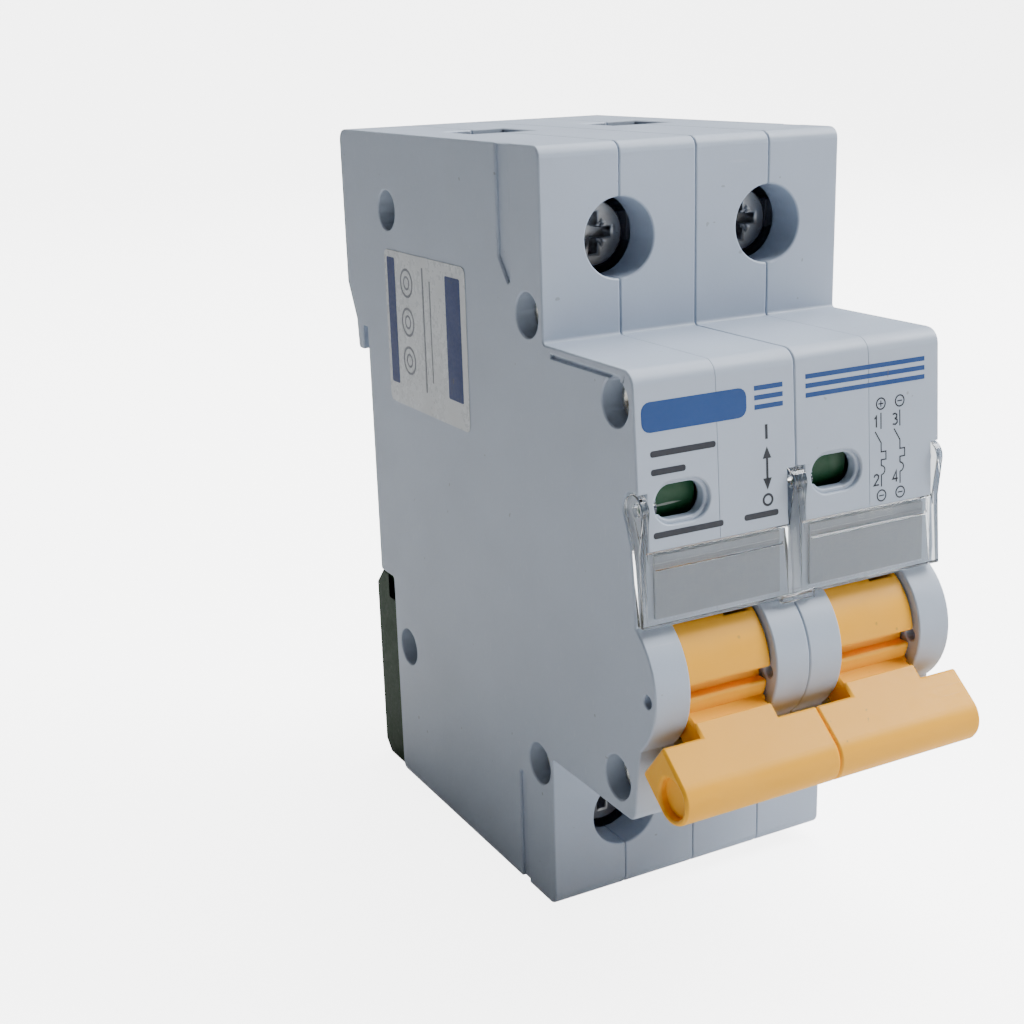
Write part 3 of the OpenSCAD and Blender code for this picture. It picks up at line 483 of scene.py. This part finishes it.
# ---- Bevelled copies -----------------------------------------------------------------------------

pole_middle = middle("plunger_2")[0]
nose_behind = front_depth("case_1_left", -13 * MM, 38 * MM) - 0.2 * MM
ROUNDING = {
    "case_plastic": 0.16, "handle_plastic": 0.28, "clip_plastic": 0.25, "dark_plastic": 0.15,
    "flag_plastic": 0.12, "clear_cover": 0.12, "film": 0.0, "paper": 0.0, "fibre": 0.06,
    "zinc_steel": 0.12, "iron": 0.1, "copper": 0.12, "silver": 0.18, "bimetal": 0.08,
    "spring_steel": 0.0,
}
REBUILT = ("rivets", "side_label", "handle_spring", "plunger_spring", "coil_1", "coil_2", "braid", "screw_")
for node in sorted(nodes):
    if not node.startswith(REBUILT):
        finished_copy(node, node + "_finished", ROUNDING[slot_of_node[node]] * MM)


# ---- Rivets --------------------------------------------------------------------------------------


def cluster_centres(points, reach):
    """Middles of groups of flat points that lie within reach of each other."""
    left, centres = points.copy(), []
    while len(left):
        near = np.linalg.norm(left - left[0], axis=1) < reach
        centres.append((left[near].min(0) + left[near].max(0)) / 2)
        left = left[~near]
    return centres


def rolled_rivets():
    """Six tubular rivets whose lips are rolled outwards.
    Half a profile is (distance from the end, radius) points, and its mirror makes the other half."""
    end = corners("rivets")[1][0]
    points = np.array([v.co for v in nodes["rivets"].data.vertices])
    faces_of_heads = points[points[:, 0] > end - 0.01 * MM][:, 1:]
    centres = cluster_centres(faces_of_heads, 6 * MM)
    half = np.array([
        (0.0, 1.2), (-0.64, 1.2),
        (-0.62, 1.75), (-0.46, 2.02), (-0.24, 2.06), (-0.06, 1.8), (0.0, 1.5), (-0.07, 1.25),
        (-0.3, 0.88), (-2.4, 0.75), (-2.5, 0.3), (-2.52, 0.01),
    ]) * MM
    half[1:, 0] += end
    profile = np.vstack([half, half[:0:-1] * [-1, 1]])
    parts = [lathe(profile, (0, y, z), (1, 0, 0), 28) for y, z in centres]
    piece = new_piece("rivets_rolled", *gather(parts), "case", MATERIALS["rivet_steel"], "rivet_steel")
    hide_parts("rivets")
    return outward_normals(piece)


rolled_rivets()


# ---- Springs, windings and braids ----------------------------------------------------------------

X_AXIS, Y_AXIS = np.array([1.0, 0, 0]), np.array([0, 1.0, 0])


def helix(start, axis, radius, length, turns, per_turn=26, phase=0.0, ground=0.0):
    """Points of a helix: start + axis * advance(t) + radius (cos a u + sin a v), a growing with t.
    The advance eases in and out over the ground share of the turns at each end."""
    t = np.linspace(0, 1, int(turns * per_turn) + 1)
    eased = np.clip((t - ground) / (1 - 2 * ground), 0, 1) if ground else t
    v = np.array([0, 0, 1.0])
    u = np.cross(v, axis)
    a = (phase + 2 * np.pi * turns * t)[:, None]
    return np.asarray(start) + eased[:, None] * length * axis + radius * (np.cos(a) * u + np.sin(a) * v)


def smooth_path(points, count):
    """A cubic curve through the points, resampled: each span blends its ends with Catmull slopes."""
    p = np.asarray(points, float)
    slope = np.gradient(p, axis=0)
    t = np.linspace(0, len(p) - 1, count)
    i = np.minimum(t.astype(int), len(p) - 2)
    f = (t - i)[:, None]
    a, b, m, n = p[i], p[i + 1], slope[i], slope[i + 1]
    return ((2 * f**3 - 3 * f**2 + 1) * a + (f**3 - 2 * f**2 + f) * m
            + (3 * f**2 - 2 * f**3) * b + (f**3 - f**2) * n)


def spring(node, name, axis, wire, turns, ground):
    """A closed helical spring in the space of its CAD node."""
    low, high = corners(node)
    k = int(np.argmax(axis))
    start = middle(node)
    start[k] = low[k] + wire
    length = high[k] - low[k] - 2 * wire
    radius = (high[2] - low[2]) / 2 - wire
    path = helix(start, axis, radius, length, turns, ground=ground)
    material = MATERIALS["spring_steel"]
    piece = new_piece(name, *tube(path, wire, 10), body_of_node[node], material, "spring_steel")
    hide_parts(node)
    return outward_normals(piece)


def plunger_spring(pole):
    """The plunger's spring, given a mesh of its own; it is not made to close up towards the fixed core in
    front of it.
    """
    node, joint = f"plunger_spring_{pole}", f"plunger_{pole}_slide"
    piece = spring(node, node + "_wire", Y_AXIS, 0.17 * MM, 3.0, 0.1)
    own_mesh(piece)


def winding(pole):
    """Enamelled wire wound round a bobbin, with its front and rear leads in one path."""
    low, high = corners(f"coil_{pole}")
    frame_low, frame_high = corners(f"coil_frame_{pole}")
    x = middle(f"coil_frame_{pole}")[0]
    z = corners(f"plunger_{pole}")[0][2] + 2.5 * MM
    wire, outer, turns = 0.83 * MM, 5.2 * MM, 7.25
    front, back = frame_low[1] + 1.4 * MM, frame_high[1] - 1.4 * MM
    radius = outer - wire
    length = back - front - 2 * wire
    loops = helix((x, front + wire, z), Y_AXIS, radius, length, turns)
    loops[:, 0] = 2 * x - loops[:, 0]
    lead_in = smooth_path([
        (x + 4.85 * MM, front + 2.0 * MM, low[2] + 0.05 * MM),
        (x + 4.85 * MM, front + 1.8 * MM, low[2] + 3 * MM),
        (x + 4.6 * MM, front + 1.2 * MM, z - 2.6 * MM),
    ], 12)
    lead_out = smooth_path([
        (x - 1.1 * MM, back - wire, z + radius + 0.25 * MM),
        (x - 1.7 * MM, back - wire, z + radius + 1.2 * MM),
        (x - 1.2 * MM, back - wire, z + 7 * MM),
        (x, back - wire + 0.1 * MM, high[2] - wire - 0.4 * MM),
        (x, high[1] - 0.05 * MM, high[2] - wire),
    ], 22)
    path = np.vstack([lead_in, loops, lead_out])
    copper = MATERIALS["coil_copper"]
    piece = new_piece(f"winding_{pole}", *tube(path, wire, 12), "case", copper, "coil_copper")
    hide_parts(f"coil_{pole}")
    outward_normals(piece)
    core, bore = radius - wire - 0.02 * MM, 3.22 * MM
    start, end, lip = front - 0.02 * MM, back + 0.02 * MM, 0.15 * MM
    rim = core + 0.5 * MM
    profile = [(start, bore), (start, rim), (start + lip, rim), (start + lip, core),
               (end - lip, core), (end - lip, rim), (end, rim), (end, bore)]
    bobbin = lathe(profile, (x, 0, z), Y_AXIS, 48)
    outward_normals(new_piece(f"bobbin_{pole}", *bobbin, "case", BOBBIN, "fibre"))


def braid(pole):
    """Flexible lead of seven strands: one along its middle, and six that turn round it three times."""
    x = middle(f"plunger_{pole}")[0]
    route = np.array([
        (-1.9, -40.4, -5.6), (-2.2, -39.9, -7), (-2.8, -39.2, -8.5), (-3.6, -38.8, -9.8),
        (-4.5, -39, -10.8), (-5.3, -39.6, -11), (-5.8, -40.5, -10.5),
    ]) * MM + [x, 0, 0]
    centre = smooth_path(route, 72)
    along = np.gradient(centre, axis=0)
    along /= np.linalg.norm(along, axis=1)[:, None]
    u = np.cross(along, [1, 0, 0.3])
    u /= np.linalg.norm(u, axis=1)[:, None]
    v = np.cross(along, u)
    t = np.linspace(0, 1, len(centre))[:, None]
    strands = [tube(centre, 0.2 * MM, 6)]
    for k in range(6):
        a = 2 * np.pi * (k / 6 + 3 * t)
        offset = 0.42 * MM * (np.cos(a) * u + np.sin(a) * v)
        strands.append(tube(centre + offset, 0.22 * MM, 7))
    piece = new_piece(f"braid_{pole}_strands", *gather(strands), "case", MATERIALS["copper"], "copper")
    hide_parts(f"braid_{pole}")
    outward_normals(piece)


for pole in POLES:
    spring(f"handle_spring_{pole}", f"handle_spring_{pole}_wire", X_AXIS, 0.29 * MM, 3.0, 0.08)
    plunger_spring(pole)
    winding(pole)
    braid(pole)


# ---- Terminal screws -----------------------------------------------------------------------------


HEAD_HEIGHT = 2.8 * MM


def screw_head(node, under):
    """The pan head cut off the CAD screw just in front of its underside, with its edges rounded."""
    b = bmesh.new()
    b.from_mesh(nodes[node].data)
    bmesh.ops.remove_doubles(b, verts=b.verts, dist=0.000002)
    everything = b.verts[:] + b.edges[:] + b.faces[:]
    cut = (0, under - 0.04 * MM, 0)
    bmesh.ops.bisect_plane(b, geom=everything, plane_co=cut, plane_no=(0, 1, 0), clear_outer=True)
    bmesh.ops.holes_fill(b, edges=[e for e in b.edges if e.is_boundary], sides=0)
    bmesh.ops.dissolve_limit(b, angle_limit=math.radians(0.4), verts=b.verts, edges=b.edges)
    bmesh.ops.recalc_face_normals(b, faces=b.faces)
    mesh = bpy.data.meshes.new(node + "_head")
    b.to_mesh(mesh)
    b.free()
    mesh.materials.append(MATERIALS["zinc_steel"])
    head = bpy.data.objects.new(node + "_head", mesh)
    bpy.context.scene.collection.objects.link(head)
    soften(mesh, 32)
    rounded_edges(head, 0.22 * MM, 32)
    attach(head, node)
    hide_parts(node)


def screw_thread(node, under, tip):
    """A threaded shank that ends in a short cone. Its radius is core + depth * ridge, where ridge is
    a flat-topped wave of (distance along the axis / pitch - angle / turn)."""
    x, _, z = middle(node)
    pitch, crest, depth, columns = 0.8 * MM, 2.48 * MM, 0.42 * MM, 30
    y = np.arange(under - 0.3 * MM, tip - 0.7 * MM, pitch / 8)
    a = np.linspace(0, 2 * np.pi, columns, endpoint=False)
    place = (y[:, None] / pitch - a[None, :] / (2 * np.pi)) % 1.0
    ridge = np.clip(1.25 - np.abs(place - 0.5) * 2.9, 0, 1)
    cone = crest - depth - np.array([0.0, 0.25, 0.9])[:, None] * MM
    radius = np.vstack([crest - depth * (1 - ridge), np.broadcast_to(cone, (3, columns))])
    along = np.concatenate([y, tip - np.array([0.55, 0.2, 0.0]) * MM])
    depth_of = np.broadcast_to(along[:, None], radius.shape)
    points = np.stack([x + radius * np.cos(a), depth_of, z + radius * np.sin(a)], -1).reshape(-1, 3)
    count = len(along)
    faces = grid_faces(count, columns, closed_columns=True)
    faces.append(list(range(columns))[::-1])
    faces.append([(count - 1) * columns + k for k in range(columns)])
    zinc = MATERIALS["zinc_steel"]
    outward_normals(new_piece(node + "_thread", points, faces, node, zinc, "zinc_steel", 60))


def screw(side, pole):
    node = f"screw_{side}_{pole}"
    low, high = corners(node)
    under = low[1] + HEAD_HEIGHT
    screw_head(node, under)
    screw_thread(node, under, high[1])


for side in ("upper", "lower"):
    for pole in POLES:
        screw(side, pole)


# ---- Printed marks -------------------------------------------------------------------------------


class Sheet:
    """A flat face that takes ink. A mark is drawn in (across, up) and becomes a thin closed slab."""

    def __init__(self, origin, across, up, outward, lift=0.012 * MM, sink=0.01 * MM):
        self.origin = np.asarray(origin, float)
        self.across = np.asarray(across, float)
        self.up = np.asarray(up, float)
        self.out = np.asarray(outward, float)
        self.lift, self.sink = lift, sink
        self.parts = []

    def place(self, flat, height):
        flat = np.asarray(flat, float) * MM
        return self.origin + flat[:, :1] * self.across + flat[:, 1:] * self.up + height * self.out

    def slab(self, outline):
        """A filled outline, given in order round its edge."""
        n = len(outline)
        points = np.vstack([self.place(outline, self.lift), self.place(outline, -self.sink)])
        faces = [list(range(n)), list(range(2 * n - 1, n - 1, -1))]
        faces += [[k, (k + 1) % n, (k + 1) % n + n, k + n] for k in range(n)]
        self.parts.append((points, faces))

    def band(self, left, right, closed=False):
        """A strip between two lines of as many points, closed into a ring or capped at its ends."""
        n = len(left)
        loops = [self.place(left, self.lift), self.place(right, self.lift),
                 self.place(right, -self.sink), self.place(left, -self.sink)]
        points = np.stack(loops, 1).reshape(-1, 3)
        faces = grid_faces(n, 4, closed_rows=closed, closed_columns=True)
        if not closed:
            faces += [[3, 2, 1, 0], [4 * n - 4, 4 * n - 3, 4 * n - 2, 4 * n - 1]]
        self.parts.append((points, faces))

    def line(self, points, width):
        """A line of even width; its corners are mitred along the mean of the two directions."""
        p = np.asarray(points, float)
        d = np.diff(p, axis=0)
        d /= np.linalg.norm(d, axis=1)[:, None]
        before, after = np.vstack([d[:1], d]), np.vstack([d, d[-1:]])
        mean = before + after
        mean /= np.linalg.norm(mean, axis=1)[:, None]
        side = np.stack([-mean[:, 1], mean[:, 0]], 1)
        reach = width / 2 / np.maximum(np.sum(mean * after, 1), 0.4)
        self.band(p + side * reach[:, None], p - side * reach[:, None])

    def ring(self, centre, radius, width, sides=28):
        a = np.linspace(0, 2 * np.pi, sides, endpoint=False)[:, None]
        unit = np.hstack([np.cos(a), np.sin(a)])
        self.band(centre + (radius + width / 2) * unit, centre + (radius - width / 2) * unit, closed=True)

    def box(self, low, high, corner=0.0):
        """A rectangle whose corners are quarter circles of the given radius."""
        (x0, z0), (x1, z1) = low, high
        if not corner:
            self.slab([(x0, z0), (x1, z0), (x1, z1), (x0, z1)])
            return
        c = corner
        turns = [arc((x1 - c, z0 + c), c, -90, 0, 5), arc((x1 - c, z1 - c), c, 0, 90, 5),
                 arc((x0 + c, z1 - c), c, 90, 180, 5), arc((x0 + c, z0 + c), c, 180, 270, 5)]
        self.slab(np.vstack(turns))

    def ink(self, name, material, slot):
        piece = new_piece(name, *gather(self.parts), "case", material, slot, 30)
        self.parts = []
        return outward_normals(piece)


# Strokes of the figures 1 to 4 in a box one unit high and 0.6 wide
FIGURES = {
    1: [[(0.12, 0.78), (0.34, 1.0), (0.34, 0.0)]],
    2: [[(0.02, 0.76), (0.12, 0.96), (0.34, 1.0), (0.54, 0.86), (0.52, 0.62), (0.02, 0.03), (0.58, 0.03)]],
    3: [[(0.04, 0.94), (0.32, 1.0), (0.52, 0.86), (0.5, 0.62), (0.26, 0.53)],
        [(0.26, 0.53), (0.54, 0.42), (0.56, 0.16), (0.34, 0.0), (0.04, 0.06)]],
    4: [[(0.42, 0.0), (0.42, 1.0), (0.0, 0.3), (0.6, 0.3)]],
}


def figure(sheet, number, corner, height, width):
    for stroke in FIGURES[number]:
        sheet.line(np.array(stroke) * height + corner, width)


def nose_marks():
    """Blue bars and a plain plate, the on and off marks, and the two poles' wiring symbol."""
    x, high_z, low_z = -16 * MM, 19 * MM, 8 * MM
    top, low = (front_depth("case_1_left", x, z) for z in (high_z, low_z))
    lean = (top - low) / (high_z - low_z)
    up = np.array([0, lean, 1.0])
    out = np.array([0, -1.0, lean])
    out /= np.linalg.norm(out)
    sheet = Sheet((0, low - lean * low_z, 0), (1, 0, 0), up, out)
    sheet.box((-17.2, 16.6), (-5.6, 19.4), 0.9)
    stripe, step_up = 0.46, 0.35
    for z in (19.15, 18.25, 17.35):
        sheet.box((-4.7, z - stripe / 2), (-1.4, z + stripe / 2))
        sheet.box((1.3, z - stripe / 2 + step_up), (16.1, z + stripe / 2 + step_up))
    sheet.ink("nose_print_blue", INK_BLUE, "case_plastic")
    bars = ((14.6, -16.4, -9.2), (12.9, -16.4, -12.6), (7.0, -16.4, -8.6), (7.0, -6.2, -2.2))
    for z, start, end in bars:
        sheet.box((start, z - 0.3), (end, z + 0.3), 0.25)
    # On mark, arrow to both sides, off mark
    sheet.line([(-3.4, 15.6), (-3.4, 14.2)], 0.3)
    sheet.line([(-3.4, 12.9), (-3.4, 9.9)], 0.26)
    for tip, way in ((13.5, -1), (9.3, 1)):
        sheet.slab([(-3.4, tip), (-3.4 + way * 0.5, tip + way * 1.15), (-3.4 - way * 0.5, tip + way * 1.15)])
    sheet.ring((-3.4, 8.35), 0.52, 0.24)
    # Switch, overload and magnetic release of each pole, with the terminals' numbers and signs
    for x, sign_up, sign_low, upper, lower in ((10.5, True, False, 1, 2), (12.9, False, True, 3, 4)):
        for z, plus in ((15.7, sign_up), (6.5, not sign_low and not sign_up)):
            sheet.ring((x, z), 0.55, 0.15)
            sheet.line([(x - 0.32, z), (x + 0.32, z)], 0.13)
            if plus:
                sheet.line([(x, z - 0.32), (x, z + 0.32)], 0.13)
        figure(sheet, upper, (x - 0.95, 13.4), 1.1, 0.17)
        figure(sheet, lower, (x - 0.95, 7.6), 1.1, 0.17)
        sheet.line([(x, 14.8), (x, 13.2)], 0.14)
        sheet.line([(x - 0.75, 13.0), (x, 11.8), (x, 10.9), (x + 0.6, 10.9),
                    (x + 0.6, 10.1), (x, 10.1), (x, 9.5)], 0.14)
        sheet.band(arc((x, 9.05), 0.52, 90, -90, 9), arc((x, 9.05), 0.38, 90, -90, 9))
        sheet.line([(x, 8.6), (x, 7.4)], 0.14)
    sheet.ink("nose_print_dark", INK_DARK, "case_plastic")


def side_marks():
    """Thin film on the left end with plain blocks, three round marks and a line."""
    low, high = corners("side_label")
    face = low[0]
    film = Sheet((face + 0.03 * MM, 0, 0), (0, -1, 0), (0, 0, 1), (-1, 0, 0), 0.0, 0.06 * MM)
    film.box((-high[1] / MM, low[2] / MM), (-low[1] / MM, high[2] / MM), 0.8)
    piece = film.ink("side_label_film", MATERIALS["film"], "film")
    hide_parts("side_label")
    sheet = Sheet((face + 0.028 * MM, 0, 0), (0, -1, 0), (0, 0, 1), (-1, 0, 0), 0.014 * MM, 0.01 * MM)
    sheet.box((7.2, 12.4), (9.3, 27.2), 0.2)
    sheet.box((22.6, 13.0), (26.2, 26.6), 0.2)
    sheet.ink("side_print_navy", INK_NAVY, "film")
    for z in (24.6, 20.1, 15.6):
        sheet.ring((12.4, z), 1.55, 0.3)
        sheet.ring((12.4, z), 0.7, 0.26)
    sheet.line([(16.8, 12.6), (16.8, 26.8)], 0.35)
    sheet.line([(18.6, 14.0), (18.6, 25.5)], 0.25)
    sheet.ink("side_print_grey", INK_GREY, "film")


nose_marks()
side_marks()


# ---- Camera, light and floor ---------------------------------------------------------------------


def look_matrix(place, yaw, pitch, roll):
    """Camera matrix from angles in degrees: yaw to the right of +Y, pitch above level, roll."""
    yaw, pitch, roll = np.radians([yaw, pitch, roll])
    ahead = np.array([np.sin(yaw) * np.cos(pitch), np.cos(yaw) * np.cos(pitch), np.sin(pitch)])
    right = np.array([np.cos(yaw), -np.sin(yaw), 0.0])
    up = np.cross(right, ahead)
    turned_right = np.cos(roll) * right + np.sin(roll) * up
    turned_up = np.cos(roll) * up - np.sin(roll) * right
    matrix = np.eye(4)
    matrix[:3, 0], matrix[:3, 1], matrix[:3, 2], matrix[:3, 3] = turned_right, turned_up, -ahead, place
    return Matrix(matrix.tolist())


def camera():
    lens = bpy.data.cameras.new("camera")
    lens.sensor_width = 36.0
    lens.lens = 54.13
    lens.clip_start, lens.clip_end = 0.01, 20.0
    eye = bpy.data.objects.new("camera", lens)
    bpy.context.scene.collection.objects.link(eye)
    eye.matrix_world = look_matrix((-0.0900, -0.1736, 0.0505), 27.72, -16.93, -1.8)
    bpy.context.scene.camera = eye


def softbox(name, place, aim, size, power, tint):
    """A square area light at a place, aimed at a point."""
    light = bpy.data.lights.new(name, "AREA")
    light.size, light.energy, light.color = size, power, tint
    lamp = bpy.data.objects.new(name, light)
    bpy.context.scene.collection.objects.link(lamp)
    lamp.location = place
    lamp.rotation_euler = (Vector(aim) - Vector(place)).to_track_quat("-Z", "Y").to_euler()


def floor():
    """A pale floor that curves up into a backdrop: a profile of a flat, a quarter circle and a wall."""
    height = cad_low[2] - 0.0004
    bend = arc((0.9, 0.5), 0.5, -90, 0, 14)
    profile = np.vstack([[(-3.0, 0.0)], bend, [(1.4, 2.6)]])
    across = np.array([-3.5, 3.5])
    points = np.stack([
        np.broadcast_to(across[None, :], (len(profile), 2)),
        np.broadcast_to(profile[:, :1], (len(profile), 2)),
        np.broadcast_to(profile[:, 1:] + height, (len(profile), 2)),
    ], -1).reshape(-1, 3)
    mesh = bpy.data.meshes.new("studio_floor")
    mesh.from_pydata(points.tolist(), [], grid_faces(len(profile), 2))
    mesh.shade_smooth()
    material = finish("studio_paper", "fibrous", (0.86, 0.86, 0.86, 1), 0.8, 0.02, 0.00001, Hairs=0.02)
    n = Nodes(material.node_tree)
    seen = n.add("ShaderNodeLightPath").outputs["Is Camera Ray"]
    paper = n.tree.nodes["Principled BSDF"]
    paper.inputs["Emission Color"].default_value = (1.0, 1.0, 1.0, 1.0)
    n.tree.links.new(n.math("MULTIPLY", seen, 5.0), paper.inputs["Emission Strength"])
    mesh.materials.append(material)
    sweep = bpy.data.objects.new("studio_floor", mesh)
    bpy.context.scene.collection.objects.link(sweep)


def studio():
    aim = (0.0, -0.02, 0.0)
    softbox("key_light", (0.60, -0.25, 0.54), aim, 0.40, 10.4, (0.97, 0.985, 1.0))
    softbox("top_light", (0.25, 0.14, 0.80), aim, 0.6, 9.6, (1.0, 0.99, 0.97))
    softbox("low_bounce", (0.14, -0.30, -0.02), (0.0, -0.04, -0.03), 0.12, 0.16, (1.0, 0.97, 0.90))
    world = bpy.data.worlds.new("studio")
    world.use_nodes = True
    sky = world.node_tree.nodes["Background"]
    n = Nodes(world.node_tree)
    seen = n.add("ShaderNodeLightPath").outputs["Is Camera Ray"]
    n.tree.links.new(n.band(seen, 0.0, 1.0, 0.09, 5.6), sky.inputs["Strength"])
    n.tree.links.new(n.mix(seen, (1.0, 0.95, 0.88, 1.0), (1.0, 1.0, 1.0, 1.0)), sky.inputs["Color"])
    bpy.context.scene.world = world


camera()
floor()
studio()
